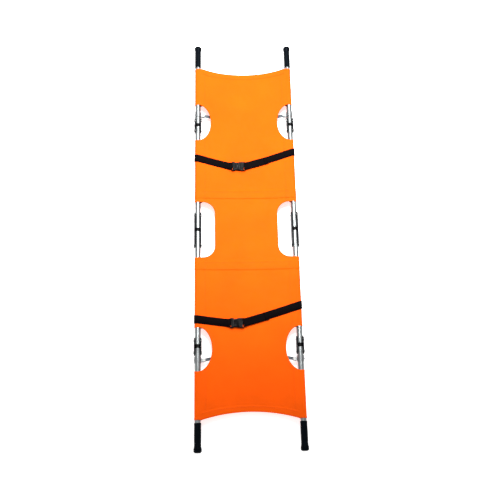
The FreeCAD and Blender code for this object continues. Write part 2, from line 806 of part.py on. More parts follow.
doc.recompute()
for item in doc.Objects:
    if "Invalid" in item.State or "Error" in item.State:
        raise RuntimeError(f"{item.Label} did not build: {item.State}")
    if item.TypeId == "Sketcher::SketchObject" and not item.FullyConstrained:
        raise RuntimeError(f"{item.Label} has a size that nothing sets")
for label, item in nodes.items():
    if item.Shape.isNull() or not item.Shape.isValid():
        raise RuntimeError(f"{label} has no valid shape")

os.makedirs("parts", exist_ok=True)
for label, item in nodes.items():
    item.Shape.exportStep(f"parts/{label}.step")
print(len(nodes), "sub-parts written")
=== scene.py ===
import json
import math

import bmesh
import bpy
from mathutils import Euler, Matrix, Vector, noise


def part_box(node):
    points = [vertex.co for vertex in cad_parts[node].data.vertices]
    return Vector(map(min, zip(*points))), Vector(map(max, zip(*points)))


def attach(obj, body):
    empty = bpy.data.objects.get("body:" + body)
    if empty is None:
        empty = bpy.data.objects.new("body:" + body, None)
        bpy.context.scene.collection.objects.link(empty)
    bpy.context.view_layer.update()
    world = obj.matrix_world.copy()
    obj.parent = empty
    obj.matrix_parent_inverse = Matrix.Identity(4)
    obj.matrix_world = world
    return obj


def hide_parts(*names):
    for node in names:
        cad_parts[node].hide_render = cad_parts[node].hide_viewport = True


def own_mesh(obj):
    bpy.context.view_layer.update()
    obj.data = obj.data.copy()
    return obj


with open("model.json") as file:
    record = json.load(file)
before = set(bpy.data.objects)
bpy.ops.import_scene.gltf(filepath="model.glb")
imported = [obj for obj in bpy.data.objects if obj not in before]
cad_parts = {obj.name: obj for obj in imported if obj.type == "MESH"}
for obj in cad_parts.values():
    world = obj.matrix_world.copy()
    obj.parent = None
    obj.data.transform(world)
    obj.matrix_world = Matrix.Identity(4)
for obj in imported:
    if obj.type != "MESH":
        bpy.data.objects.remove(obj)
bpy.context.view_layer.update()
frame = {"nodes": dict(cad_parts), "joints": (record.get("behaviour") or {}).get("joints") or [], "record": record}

# A folding stretcher, in metres in the frame's own axes: +Y to the head end, +X right.

MM = 0.001


# ---------------------------------------- sizes read from the frame


def joint(name):
    return next(j for j in frame["joints"] if j["name"] == name)


POLE_X = -joint("front_end_fold")["pos_m"][0]
AXIS_Z = joint("front_end_fold")["pos_m"][2]
MID_PIVOT = joint("middle_fold")["pos_m"][1]
INNER_PIVOT = joint("front_end_fold")["pos_m"][1]
OUTER_PIVOT = joint("left_front_end_pivot")["pos_m"][1]
HINGE_Y = (INNER_PIVOT + OUTER_PIVOT) / 2
TUBE_R = (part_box("left_front_mid_tube")[1].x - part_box("left_front_mid_tube")[0].x) / 2
BED_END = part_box("front_end_cloth")[1].y
BUCKLE_BOX = {name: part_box(name) for name in frame["nodes"] if "buckle" in name}

# the bed's cut: sleeves round the poles, hand holes beside the links, hollow ends
SLEEVE_R = TUBE_R + 0.9 * MM
BED_RISE = 3 * MM
BED_SAG = SLEEVE_R - BED_RISE
SLEEVE_IN = 20 * MM
SLEEVE_FOOT = 26 * MM
BED_HALF = POLE_X - SLEEVE_IN
HEM_IN = 40 * MM
HOLE_HALF = 102 * MM
HOLE_DEPTH = 66 * MM
HOLE_Y = HINGE_Y + 14 * MM
MID_HOLE_HALF = 143 * MM
MID_HOLE_DEPTH = 83 * MM
MID_HOLE_CORNER = 60 * MM
HOLLOW = 33 * MM
HOLLOW_HALF = POLE_X - 18 * MM
LAP = (163 * MM, 203 * MM)
FOLD = 1.5 * MM
TURN_UNDER = 12 * MM
END_HEM = 30 * MM

# how the cloth's height changes at laps and hems, and how it gives at the bed's ends
LAP_RISE = 0.9 * MM
LAP_STEP = 0.4 * MM
HEM_RISE = 0.7 * MM
HEM_STEP = 2 * MM
END_HEM_RISE = 0.8 * MM
END_HEM_STEP = 0.5 * MM
END_SLACK = 2 * MM
END_SLACK_RUN = 90 * MM

# where each strap crosses each pole, and how its band lies
STRAPS = {
    "front": {"left": 379 * MM, "right": 408 * MM},
    "rear": {"left": -446 * MM, "right": -387 * MM},
}
STRAP_WIDTH = 38 * MM
STRAP_THICK = 1.7 * MM
STRAP_LIFT = 2 * MM
RUN_START = 18 * MM
RUN_OVERLAP = 8 * MM
OVER_POLE = 1.35 * RUN_START
LOOP_IN = 42 * MM
LOOP_FOOT = 34 * MM
LOOP_TAIL_IN = 46 * MM
SIDE_NAME = {-1: "left", 1: "right"}

# the band at a buckle: where it climbs, how it lies round the bar, and how its ends overlap
BUCKLE_LOW = BUCKLE_BOX["front_buckle_socket"][0].z
BAR_LEVEL = BUCKLE_LOW + 6 * MM
SLOT_IN = 4.4 * MM
CLIMB = 34 * MM
BAR_IN = 3 * MM
BAR_BEND = 3.2 * MM
BAR_STEP = 2.7 * MM
SEWN_BACK = 42 * MM
FREE_BACK = 118 * MM
RUN_SHORT = 27 * MM
LEAD = 46 * MM
SEWN_UNDER = 0.6 * MM
TAIL_ARCH = 3 * MM
TAIL_DRIFT = 2.5 * MM


# ---------------------------------------- mesh helpers


def smoothstep(value, low, high):
    share = min(max((value - low) / (high - low), 0), 1)
    return share * share * (3 - 2 * share)


def new_object(name, mesh, material, smooth=True):
    item = bpy.data.objects.new(name, mesh)
    bpy.context.scene.collection.objects.link(item)
    item.data.materials.append(material)
    for polygon in mesh.polygons:
        polygon.use_smooth = smooth
    return item


class Weave:
    """Collects grids of points, and makes one mesh of them with shared edges."""

    def __init__(self):
        self.points = []
        self.faces = []
        self.places = []

    def grid(self, rows, closed=False, flip=False, caps=False, places=None):
        """rows is a list of equally long lists of points; closed joins each row's ends."""
        first = len(self.points)
        across = len(rows[0])
        for row in rows:
            self.points += [tuple(p) for p in row]
        self.places += places or [(0, 0)] * (len(rows) * across)
        for i in range(len(rows) - 1):
            for j in range(across if closed else across - 1):
                a, b = first + i * across, first + (i + 1) * across
                k = (j + 1) % across
                face = (a + j, a + k, b + k, b + j)
                self.faces.append(face[::-1] if flip else face)
        if caps:
            last = first + (len(rows) - 1) * across
            near_end = tuple(first + j for j in reversed(range(across)))
            far_end = tuple(last + j for j in range(across))
            self.faces += [end[::-1] if flip else end for end in (near_end, far_end)]

    def mesh(self, name, merge=0.01 * MM):
        mesh = bpy.data.meshes.new(name)
        mesh.from_pydata(self.points, [], self.faces)
        layer = mesh.uv_layers.new(name="UVMap")
        for loop in mesh.loops:
            layer.data[loop.index].uv = self.places[loop.vertex_index]
        if merge:
            work = bmesh.new()
            work.from_mesh(mesh)
            bmesh.ops.remove_doubles(work, verts=work.verts, dist=merge)
            bmesh.ops.dissolve_degenerate(work, edges=work.edges, dist=merge)
            work.to_mesh(mesh)
            work.free()
        return mesh


def applied(item):
    """The object with its modifiers made part of its mesh."""
    shape = item.evaluated_get(bpy.context.evaluated_depsgraph_get())
    mesh = bpy.data.meshes.new_from_object(shape)
    item.modifiers.clear()
    item.data = mesh
    return item


# ---------------------------------------- materials


class Finish:
    """A material on a principled shader, with short ways to add its detail."""

    def __init__(self, name, colour, roughness, metallic=0.0, **sockets):
        self.material = bpy.data.materials.new(name)
        self.material.use_nodes = True
        self.base = colour
        self.tree = self.material.node_tree
        self.shader = self.tree.nodes["Principled BSDF"]
        self.shader.inputs["Base Color"].default_value = (*colour, 1)
        self.shader.inputs["Roughness"].default_value = roughness
        self.shader.inputs["Metallic"].default_value = metallic
        for socket, value in sockets.items():
            self.shader.inputs[socket.replace("_", " ")].default_value = value
        self.place = self.add("ShaderNodeTexCoord").outputs["Object"]

    def add(self, kind, **settings):
        node = self.tree.nodes.new(kind)
        for key, value in settings.items():
            if key in node.inputs:
                node.inputs[key].default_value = value
            else:
                setattr(node, key, value)
        return node

    def link(self, source, target):
        self.tree.links.new(source, target)

    def uv(self):
        return self.add("ShaderNodeUVMap", uv_map="UVMap").outputs["UV"]

    def stretched(self, scale):
        mapping = self.add("ShaderNodeMapping", Scale=scale)
        self.link(self.place, mapping.inputs["Vector"])
        return mapping.outputs["Vector"]

    def speckle(self, scale, detail=3.0, roughness=0.55, stretch=None):
        """Noise from 0 to 1, in cycles per metre."""
        texture = self.add("ShaderNodeTexNoise", Scale=scale, Detail=detail, Roughness=roughness)
        self.link(self.stretched(stretch) if stretch else self.place, texture.inputs["Vector"])
        return texture.outputs["Fac"]

    def maths(self, operation, *values):
        node = self.add("ShaderNodeMath", operation=operation)
        for socket, value in zip(node.inputs, values):
            if isinstance(value, float):
                socket.default_value = value
            else:
                self.link(value, socket)
        return node.outputs[0]

    def threads(self, pitch, source=None):
        """A plain weave: the product of two sine waves, one along X and one along Y."""
        parts = self.add("ShaderNodeSeparateXYZ")
        self.link(source or self.place, parts.inputs[0])
        turns = 2 * math.pi / pitch
        along = [self.maths("MULTIPLY", parts.outputs[axis], turns) for axis in ("X", "Y")]
        return self.maths("MULTIPLY", *(self.maths("SINE", angle) for angle in along))

    def ramp(self, source, low, high, start, end):
        """A colour from low to high, as a texture goes from start to end."""
        node = self.add("ShaderNodeValToRGB")
        node.color_ramp.elements[0].position = start
        node.color_ramp.elements[1].position = end
        for element, colour in zip(node.color_ramp.elements, (low, high)):
            element.color = (*colour, 1)
        self.link(source, node.inputs["Fac"])
        return node.outputs["Color"]

    def tint(self, source, low, high, start=0.3, end=0.7):
        """The base colour, times a factor that runs from low to high with a texture."""
        colours = (tuple(channel * factor for channel in self.base) for factor in (low, high))
        self.link(self.ramp(source, *colours, start, end), self.shader.inputs["Base Color"])

    def gloss(self, source, low, high):
        """The roughness, from low to high with a texture."""
        grey = self.ramp(source, (low,) * 3, (high,) * 3, 0.3, 0.7)
        self.link(grey, self.shader.inputs["Roughness"])

    def bump(self, *heights):
        """Bump maps, each a (height, depth in metres) pair, laid on each other."""
        normal = None
        for height, depth in heights:
            node = self.add("ShaderNodeBump", Strength=1.0, Distance=depth)
            self.link(height, node.inputs["Height"])
            if normal:
                self.link(normal, node.inputs["Normal"])
            normal = node.outputs["Normal"]
        self.link(normal, self.shader.inputs["Normal"])


def orange_cloth():
    finish = Finish("orange_canvas", (0.84, 0.088, 0.001), 0.75, Specular_IOR_Level=0.05)
    finish.tint(finish.speckle(7, detail=4), 0.93, 1.06)
    finish.gloss(finish.speckle(60), 0.66, 0.8)
    slack = finish.speckle(14, stretch=(0.5, 2.2, 1))
    finish.bump((slack, 1.2 * MM), (finish.threads(1.3 * MM), 0.07 * MM))
    return finish.material


def orange_thread():
    finish = Finish("seam_thread", (0.55, 0.05, 0.002), 0.6, Specular_IOR_Level=0.2)
    finish.tint(finish.speckle(900), 0.7, 1.3, 0, 1)
    return finish.material


def black_webbing():
    finish = Finish("black_webbing", (0.003, 0.0016, 0.0022), 0.75, Specular_IOR_Level=0.03)
    threads = finish.threads(3.2 * MM, finish.uv())
    finish.tint(threads, 0.6, 1.8, 0, 1)
    finish.bump((threads, 0.25 * MM), (finish.speckle(500), 0.08 * MM))
    return finish.material


def aluminium():
    finish = Finish("drawn_aluminium", (0.235, 0.25, 0.252), 0.36, 1.0)
    drawn = finish.speckle(180, detail=4, stretch=(1, 0.02, 1))
    finish.tint(finish.speckle(20), 0.9, 1.08)
    finish.gloss(drawn, 0.28, 0.46)
    finish.bump((drawn, 0.03 * MM))
    return finish.material


def painted_steel():
    finish = Finish("black_paint", (0.008, 0.010, 0.014), 0.45, Specular_IOR_Level=0.2)
    worn = finish.speckle(90, detail=6, roughness=0.7)
    finish.tint(worn, 1, 4, 0.62, 0.78)
    finish.gloss(finish.speckle(220), 0.34, 0.5)
    finish.bump((finish.speckle(700), 0.04 * MM))
    return finish.material


def arm_steel():
    finish = Finish("spreader_steel", (0.035, 0.040, 0.045), 0.4, 0.8)
    rolled = finish.speckle(260, detail=4, stretch=(0.05, 1, 1))
    finish.tint(finish.speckle(45), 0.6, 1.5)
    finish.gloss(rolled, 0.3, 0.5)
    finish.bump((rolled, 0.04 * MM))
    return finish.material


def bracket_zinc():
    finish = Finish("bracket_zinc", (0.20, 0.21, 0.215), 0.42, 1.0)
    spangle = finish.add("ShaderNodeTexVoronoi", Scale=260.0)
    finish.link(finish.place, spangle.inputs["Vector"])
    finish.tint(spangle.outputs["Distance"], 0.8, 1.2, 0, 1)
    finish.gloss(finish.speckle(320), 0.3, 0.5)
    finish.bump((finish.speckle(800), 0.03 * MM))
    return finish.material


def bright_zinc():
    finish = Finish("zinc_plate", (0.30, 0.30, 0.29), 0.3, 1.0)
    finish.tint(finish.speckle(300), 0.75, 1.2)
    finish.gloss(finish.speckle(500), 0.22, 0.45)
    return finish.material


def black_nylon():
    finish = Finish("black_nylon", (0.0024, 0.0022, 0.0026), 0.42, Specular_IOR_Level=0.06)
    finish.gloss(finish.speckle(400), 0.32, 0.5)
    finish.bump((finish.speckle(1500, detail=1), 0.05 * MM))
    return finish.material


def black_rubber():
    sheen = {"Specular_IOR_Level": 0.03, "Specular_Tint": (0.7, 0.85, 1, 1)}
    finish = Finish("black_rubber", (0.0015, 0.0024, 0.0038), 0.4, **sheen)
    dusty = finish.speckle(70, detail=5)
    finish.tint(dusty, 1, 2.2, 0.5, 0.8)
    finish.gloss(dusty, 0.3, 0.5)
    finish.bump((finish.speckle(900, detail=2), 0.04 * MM))
    return finish.material


MATERIALS = {
    "tube_aluminium": aluminium(),
    "plate_steel": painted_steel(),
    "spreader_steel": arm_steel(),
    "bracket_steel": bracket_zinc(),
    "fastener_zinc": bright_zinc(),
    "black_plastic": black_nylon(),
    "black_rubber": black_rubber(),
    "orange_cloth": orange_cloth(),
    "black_webbing": black_webbing(),
}
THREAD = orange_thread()

for part in frame["record"]["subparts"]:
    slots = frame["nodes"][part["node"]].data.materials
    slots.clear()
    slots.append(MATERIALS[part["material_slot"]])


# ---------------------------------------- the bed's shape


def hole_edge(y):
    """How far from the middle the cloth reaches at a place along the bed."""
    along = abs(y)
    off = abs(along - HOLE_Y) / HOLE_HALF
    if off < 1:
        return POLE_X - HOLE_DEPTH * math.sqrt(1 - off * off)
    straight = MID_HOLE_HALF - MID_HOLE_CORNER
    if along < straight:
        return POLE_X - MID_HOLE_DEPTH
    if along < MID_HOLE_HALF:
        reach = math.sqrt(MID_HOLE_CORNER**2 - (along - straight) ** 2)
        return POLE_X - (MID_HOLE_DEPTH - MID_HOLE_CORNER) - reach
    return POLE_X


def hole_end(depth, which):
    """Where a hand hole starts or stops along the pole, at a distance in from the axis."""
    if which == "middle":
        straight = MID_HOLE_DEPTH - MID_HOLE_CORNER
        beyond = max(depth - straight, 0)
        return MID_HOLE_HALF - MID_HOLE_CORNER + math.sqrt(MID_HOLE_CORNER**2 - beyond**2)
    half = HOLE_HALF * math.sqrt(1 - (depth / HOLE_DEPTH) ** 2)
    return HOLE_Y + half if which == "outer" else HOLE_Y - half


HOLLOW_R = (HOLLOW_HALF**2 + HOLLOW**2) / (2 * HOLLOW)


def bed_end(x):
    """The hollow curve of the bed's two ends."""
    if abs(x) >= HOLLOW_HALF:
        return BED_END
    return BED_END - HOLLOW + HOLLOW_R - math.sqrt(HOLLOW_R**2 - x * x)


def hollowed(x, y):
    """A place along the end panel, drawn in so that its last row follows the hollow end."""
    return OUTER_PIVOT + (y - OUTER_PIVOT) * (bed_end(x) - OUTER_PIVOT) / (BED_END - OUTER_PIVOT)


def on_lap(along):
    """1 where the lap seam doubles the cloth, and 0 on both sides of it."""
    return smoothstep(along, LAP[0] - LAP_STEP, LAP[0]) - smoothstep(along, LAP[1], LAP[1] + LAP_STEP)


def bed_height(x, y):
    """The cloth's height: a shallow trough, with lap seams, hems and slight creases."""
    across = abs(x)
    along = abs(y)
    height = AXIS_Z + BED_RISE + BED_SAG * (across / POLE_X) ** 2
    height += LAP_RISE * on_lap(along)
    height += HEM_RISE * smoothstep(across, POLE_X - HEM_IN - HEM_STEP, POLE_X - HEM_IN)
    slack = 1 - min(across / BED_HALF, 1) ** 4
    height -= END_SLACK * slack * smoothstep(along, BED_END - END_SLACK_RUN, BED_END)
    creases = noise.noise(Vector((x * 3.0, y * 16.0, 0.3)))
    waves = noise.noise(Vector((x * 5.0, y * 4.0, 7.1)))
    return height + slack * (0.7 * MM * creases + 1.2 * MM * waves)


def unique(places, least):
    """The places in order, without those closer than the least distance to the last one."""
    kept = []
    for place in sorted(places):
        if not kept or place - kept[-1] > least:
            kept.append(place)
    return kept


def hole_rows():
    """Places along one half of the bed where a hand hole's edge wants a row of points."""
    steps, corner_steps = 60, 24
    straight = MID_HOLE_HALF - MID_HOLE_CORNER
    angles = [math.pi / 2 * k / corner_steps for k in range(1, corner_steps)]
    rows = [HOLE_Y + HOLE_HALF * math.cos(math.pi * k / steps) for k in range(1, steps)]
    return rows + [straight + MID_HOLE_CORNER * math.sin(angle) for angle in angles]


SLEEVE_STOPS = [hole_end(SLEEVE_IN, which) for which in ("middle", "inner", "outer")]
LAP_ROWS = [LAP[0] - LAP_STEP, LAP[0], LAP[1], LAP[1] + LAP_STEP]
END_HEM_ROWS = [BED_END - END_HEM - END_HEM_STEP, BED_END - END_HEM]
SHARP_ROWS = [*SLEEVE_STOPS, *LAP_ROWS, *END_HEM_ROWS]


def rows_between(low, high, step=9 * MM):
    """Row places from low to high along one half of the bed, the sharp ones exact."""
    fixed = [low, high] + [y for y in SHARP_ROWS if low < y < high]
    count = max(2, round((high - low) / step))
    soft = [low + (high - low) * k / count for k in range(1, count)]
    soft += [y for y in hole_rows() if low < y < high]
    soft = [y for y in unique(soft, 1.2 * MM) if min(abs(y - f) for f in fixed) > 0.35 * MM]
    return sorted(fixed + soft)


def in_hole(y):
    along = abs(y)
    middle, inner, outer = SLEEVE_STOPS
    near = 1e-7
    return along <= middle + near or inner - near <= along <= outer + near


def stretches(items, belongs):
    """The runs of neighbouring items that belong, each of two items or more."""
    runs = [[]]
    for item in items:
        if belongs(item):
            runs[-1].append(item)
        else:
            runs.append([])
    return [run for run in runs if len(run) > 1]


def edge_normal(y, side):
    """The direction in plan that points out of the cloth at a hand hole's edge."""
    step = 0.3 * MM
    rise = (min(hole_edge(y + step), POLE_X) - min(hole_edge(y - step), POLE_X)) / (2 * step)
    return Vector((side, -rise, 0)).normalized()


def turned_edge(edge, normal):
    """A point of a cloth's edge, and those that turn it under: round the fold and back."""
    at = Vector((edge[0], edge[1], 0))
    points = [edge]
    for out, down in ((0.35, -0.15), (0.5, -0.5), (0.35, -0.85), (0, -1)):
        p = at + normal * (out * FOLD)
        points.append((p.x, p.y, edge[2] + down * FOLD))
    for back in (0.4, 1):
        p = at - normal * (TURN_UNDER * back)
        inside = min(abs(p.x), BED_HALF)
        points.append((p.x, p.y, bed_height(math.copysign(inside, p.x), p.y) - FOLD))
    return points


def columns(steps=56):
    """Places across the bed as shares of its half width, with exact ones at the hem's step."""
    even = [k / steps for k in range(-steps, steps + 1)]
    hems = [s * (POLE_X - HEM_IN - d) / BED_HALF for s in (-1, 1) for d in (0, HEM_STEP)]
    return sorted(set(even + hems))


COLUMNS = columns()


def cloth(name, weave):
    return new_object(name, weave.mesh(name), MATERIALS["orange_cloth"])


def cloth_panel(name, low, high, mirror, at_end):
    """One panel of the bed between two places along it, with its turned edges."""
    weave = Weave()
    rows = []
    ys = rows_between(low, high)
    for y in ys:
        half = min(hole_edge(y), BED_HALF)
        hem = END_HEM_RISE * smoothstep(y, *END_HEM_ROWS)
        row = []
        for u in COLUMNS:
            x = u * half
            place = hollowed(x, y) if at_end else y
            row.append((x, mirror * place, bed_height(x, mirror * place) + hem))
        rows.append(row)
    weave.grid(rows, flip=mirror < 0)
    for side in (-1, 1):
        for beside in stretches(zip(ys, rows), lambda pair: in_hole(pair[0])):
            run = []
            for y, row in beside:
                normal = edge_normal(y, side)
                normal.y *= mirror
                run.append(turned_edge(row[-1] if side > 0 else row[0], normal))
            weave.grid(run, flip=side * mirror < 0)
    if at_end:
        run = []
        for edge in rows[-1]:
            slope = (bed_end(edge[0] + MM) - bed_end(edge[0] - MM)) / (2 * MM)
            run.append(turned_edge(edge, Vector((-slope, mirror, 0)).normalized()))
        weave.grid(run, flip=mirror > 0)
    return cloth(name, weave)


def lip(weave, pivot, toward, mirror):
    """A curl of cloth under the next panel that covers the gap when a pivot opens."""
    half = min(hole_edge(pivot), BED_HALF)
    steps = 8
    rows = []
    for k in range(steps + 1):
        angle = math.pi / 2 * k / steps
        row = []
        for u in COLUMNS[::2]:
            x = u * half
            rise = bed_height(x, mirror * pivot) - AXIS_Z
            out = toward * rise * math.sin(angle)
            row.append((x, mirror * (pivot + out), AXIS_Z + rise * math.cos(angle)))
        rows.append(row)
    weave.grid(rows, flip=toward * mirror < 0)


def bed_rise(depth):
    """The plain bed's height over a pole's axis, at a distance in from that axis."""
    return BED_RISE + BED_SAG * ((POLE_X - depth) / POLE_X) ** 2


def wrap_path(top, radius, foot, tail_in, steps=32):
    """A section round a pole, as (distance in from the axis, height over it): from the point
    top it goes over, outside and under the pole, then up to the point foot and along the
    bed's underside to tail_in."""
    top, foot = Vector(top), Vector(foot)
    lean = math.atan2(top.x, top.y) - math.acos(min(radius / top.length, 1))
    leave = math.atan2(foot.x, foot.y) + math.acos(min(radius / foot.length, 1))
    sweep = 2 * math.pi - (leave - lean)
    ring = [lean - sweep * k / steps for k in range(steps + 1)]
    circle = [Vector((radius * math.sin(a), radius * math.cos(a))) for a in ring]
    points = [top.lerp(circle[0], k / 3) for k in range(3)] + circle
    points += [circle[-1].lerp(foot, k / 4) for k in range(1, 5)]
    drop = bed_rise(foot.x) - foot.y
    for k in range(1, 5):
        depth = foot.x + (tail_in - foot.x) * k / 4
        points.append(Vector((depth, bed_rise(depth) - drop)))
    return [tuple(point) for point in points]


def sleeve_path(height):
    foot = (SLEEVE_FOOT, bed_rise(SLEEVE_FOOT) - 0.8 * MM)
    return wrap_path((SLEEVE_IN, height - AXIS_Z), SLEEVE_R, foot, HEM_IN)


SLEEVE_END = {
    "middle": lambda depth: hole_end(min(depth, MID_HOLE_DEPTH), "middle"),
    "inner": lambda depth: hole_end(depth, "inner"),
    "outer": lambda depth: hole_end(depth, "outer"),
    "end": lambda depth: bed_end(POLE_X - depth),
}


def sleeve_marks(low, high, count=40):
    """Places along a sleeve as shares of its length: even ones, and more at its hems and laps."""
    hems = (0.0008, 0.003, 0.006, 0.0445, 0.052)
    start, stop = SLEEVE_END[low](0), SLEEVE_END[high](0)
    marks = [k / count for k in range(count + 1)]
    marks += [*hems, *(1 - mark for mark in hems)]
    seams = [y for y in (*LAP_ROWS, *END_HEM_ROWS) if start < y < stop]
    return sorted(marks + [(y - start) / (stop - start) for y in seams])


def sleeve_puff(y, depth, side, from_end):
    """How much wider than its pole a sleeve is: slightly uneven, thick at its hems and laps."""
    puff = 1 + 0.02 * noise.noise(Vector((y * 40, depth * 60, side + 3.0)))
    puff += 0.05 * (1 - smoothstep(from_end, 9 * MM, 11 * MM))
    puff -= 0.09 * (1 - smoothstep(from_end, 0, 1.2 * MM))
    return puff + 0.05 * on_lap(y)


def sleeve(name, side, mirror, low, high):
    """The cloth round one pole between two places; its ends follow the hand holes."""
    low_end, high_end = SLEEVE_END[low], SLEEVE_END[high]
    rows = []
    for mark in sleeve_marks(low, high):
        row = []
        along = low_end(SLEEVE_IN) + (high_end(SLEEVE_IN) - low_end(SLEEVE_IN)) * mark
        height = bed_height(side * BED_HALF, mirror * along)
        for depth, rise in sleeve_path(height):
            near = min(abs(depth), HEM_IN)
            start, stop = low_end(near), high_end(near)
            y = start + (stop - start) * mark
            puff = 1
            if depth < SLEEVE_IN - 1 * MM:
                puff = sleeve_puff(y, depth, side, min(y - start, stop - y))
            row.append((side * (POLE_X - depth * puff), mirror * y, AXIS_Z + rise * puff))
        rows.append(row)
    weave = Weave()
    weave.grid(rows, flip=side * mirror > 0)
    return cloth(name, weave)


def path_length(points):
    return sum((Vector(b) - Vector(a)).length for a, b in zip(points, points[1:]))


# the cut of a sleeve is as wide as its section is long
SLEEVE_CUT = path_length(sleeve_path(AXIS_Z + bed_rise(SLEEVE_IN)))


# ---------------------------------------- the bed and its seams


def squeeze(piece, body):
    """Cloth that spans both poles follows the left one, on a mesh of its own."""
    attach(piece, body)
    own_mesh(piece)


def add_tuck(name, body, curls):
    """The tuck under a link's panel, made of curls, each a (pivot, toward, mirror) triple."""
    weave = Weave()
    for pivot, toward, mirror in curls:
        lip(weave, pivot, toward, mirror)
    tuck = cloth(name, weave)
    squeeze(tuck, body)


# a panel's name, its body, where it starts and stops, its end of the bed and its CAD node
PANELS = [
    ("front_end", "left_front_end", OUTER_PIVOT, BED_END, 1, "front_end_cloth"),
    ("front_link", "left_front_link", INNER_PIVOT, OUTER_PIVOT, 1, None),
    ("front_mid", "left_front_mid", MID_PIVOT, INNER_PIVOT, 1, "front_mid_cloth"),
    ("rear_mid", "left_rear_mid", MID_PIVOT, INNER_PIVOT, -1, "rear_mid_cloth"),
    ("rear_link", "left_rear_link", INNER_PIVOT, OUTER_PIVOT, -1, None),
    ("rear_end", "left_rear_end", OUTER_PIVOT, BED_END, -1, "rear_end_cloth"),
]

for label, body, low, high, mirror, node in PANELS:
    piece = cloth_panel(f"bed_{label}", low, high, mirror, high == BED_END)
    squeeze(piece, body)
    if node:
        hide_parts(node)
    if low == INNER_PIVOT:
        curls = [(INNER_PIVOT, -1, mirror), (OUTER_PIVOT, 1, mirror)]
        add_tuck(f"tuck_{label}", body, curls)


def middle_panel():
    """The panel that rides on the middle link, between the two long hand holes."""
    ys = rows_between(0, MID_PIVOT)
    rows = []
    for y in [-y for y in reversed(ys)] + ys[1:]:
        half = min(hole_edge(y), BED_HALF)
        rows.append([(u * half, y, bed_height(u * half, y)) for u in COLUMNS])
    weave = Weave()
    weave.grid(rows)
    for side, last in ((-1, 0), (1, -1)):
        run = [turned_edge(row[last], Vector((side, 0, 0))) for row in rows]
        weave.grid(run, flip=side < 0)
    return cloth("bed_middle", weave)


piece = middle_panel()
squeeze(piece, "left_middle_link")
add_tuck("tuck_middle", "left_middle_link", [(MID_PIVOT, 1, 1), (MID_PIVOT, 1, -1)])

for side in (-1, 1):
    for end, mirror in (("front", 1), ("rear", -1)):
        for section, low, high in (("mid", "middle", "inner"), ("end", "outer", "end")):
            body = f"{SIDE_NAME[side]}_{end}_{section}"
            piece = sleeve(f"sleeve_{body}", side, mirror, low, high)
            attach(piece, body)
            length = SLEEVE_END[high](SLEEVE_IN) - SLEEVE_END[low](SLEEVE_IN)


# ---------------------------------------- stitching

STITCH_GAP = 5 * MM
STITCH_LENGTH = 4 * MM
STITCH_WIDTH = 0.9 * MM
# a stitch's corners: along it and across it as shares of its size, and up in mm
STITCH_CORNERS = [(-0.5, 0, -0.1), (0, 0.5, 0.1), (0, 0, 0.4), (0, -0.5, 0.1), (0.5, 0, -0.1)]


def stitch_row(weave, path, lift=0.0):
    """Stitches along a path in plan: each a slim lozenge of thread on the cloth."""
    path = [Vector((x, y, 0)) for x, y in path]
    carried = STITCH_GAP / 2
    for a, b in zip(path, path[1:]):
        run = (b - a).length
        if run < 1e-6:
            continue
        along = (b - a) / run
        across = Vector((-along.y, along.x, 0))
        while carried < run:
            middle = a + along * carried
            level = bed_height(middle.x, middle.y) + lift
            base = len(weave.points)
            for out, side, up in STITCH_CORNERS:
                p = middle + along * (out * STITCH_LENGTH) + across * (side * STITCH_WIDTH)
                weave.points.append((p.x, p.y, level + up * MM))
            weave.places += [(0, 0)] * len(STITCH_CORNERS)
            weave.faces += [(base, base + k, base + k + 1) for k in (1, 2)]
            weave.faces += [(base + 4, base + k + 1, base + k) for k in (1, 2)]
            weave.faces += [(base, base + 3, base + 1), (base + 4, base + 1, base + 3)]
            carried += STITCH_GAP
        carried -= run


# two rows beside each other in from a cloth's edge, and how far their ends stop short
SEAM = (3 * MM, 7 * MM)
SEAM_END = 2 * MM
HOLE_SEAM = 6 * MM


def hem_line(side, low, high, mirror):
    """Two rows beside each other where the sleeve's hem is sewn to the bed."""
    if high == OUTER_PIVOT:
        return []
    rows = []
    for inset in (HEM_IN - SEAM[0], HEM_IN - SEAM[1]):
        if low == OUTER_PIVOT:
            start, stop = hole_end(inset, "outer"), bed_end(POLE_X - inset)
        else:
            start, stop = hole_end(inset, "middle"), hole_end(inset, "inner")
        x = side * (POLE_X - inset)
        rows.append([(x, mirror * (start + SEAM_END)), (x, mirror * (stop - SEAM_END))])
    return rows


def hole_line(side, low, high, mirror):
    """A row just inside the edges of the hand holes."""
    rows = []
    count = max(2, round((high - low) / (2 * MM)))
    ys = [low + (high - low) * k / count for k in range(count + 1)]
    for beside in stretches(ys, lambda y: hole_edge(y) < BED_HALF - 1 * MM):
        run = []
        for y in beside:
            place = Vector((side * hole_edge(y), y, 0)) - edge_normal(y, side) * HOLE_SEAM
            run.append((place.x, mirror * place.y))
        rows.append(run)
    return rows


def end_line(mirror, inset):
    xs = [BED_HALF * k / 40 for k in range(-40, 41)]
    return [(x, mirror * hollowed(x, BED_END - inset)) for x in xs]


def add_stitches(name, body, weave):
    seams = new_object(name, weave.mesh(name, 0), THREAD, False)
    squeeze(seams, body)


for label, body, low, high, mirror, node in PANELS:
    weave = Weave()
    for side in (-1, 1):
        for path in hem_line(side, low, high, mirror) + hole_line(side, low, high, mirror):
            stitch_row(weave, path)
    if high == BED_END:
        for inset in (SEAM[0], END_HEM - SEAM[1], END_HEM - SEAM[0]):
            stitch_row(weave, end_line(mirror, inset), END_HEM_RISE)
    if low == MID_PIVOT:
        for place in (LAP[0] + SEAM[0], LAP[0] + SEAM[1], LAP[1] - SEAM[1], LAP[1] - SEAM[0]):
            stitch_row(weave, [(x, mirror * place) for x in (-BED_HALF, BED_HALF)])
    add_stitches(f"stitches_{label}", body, weave)

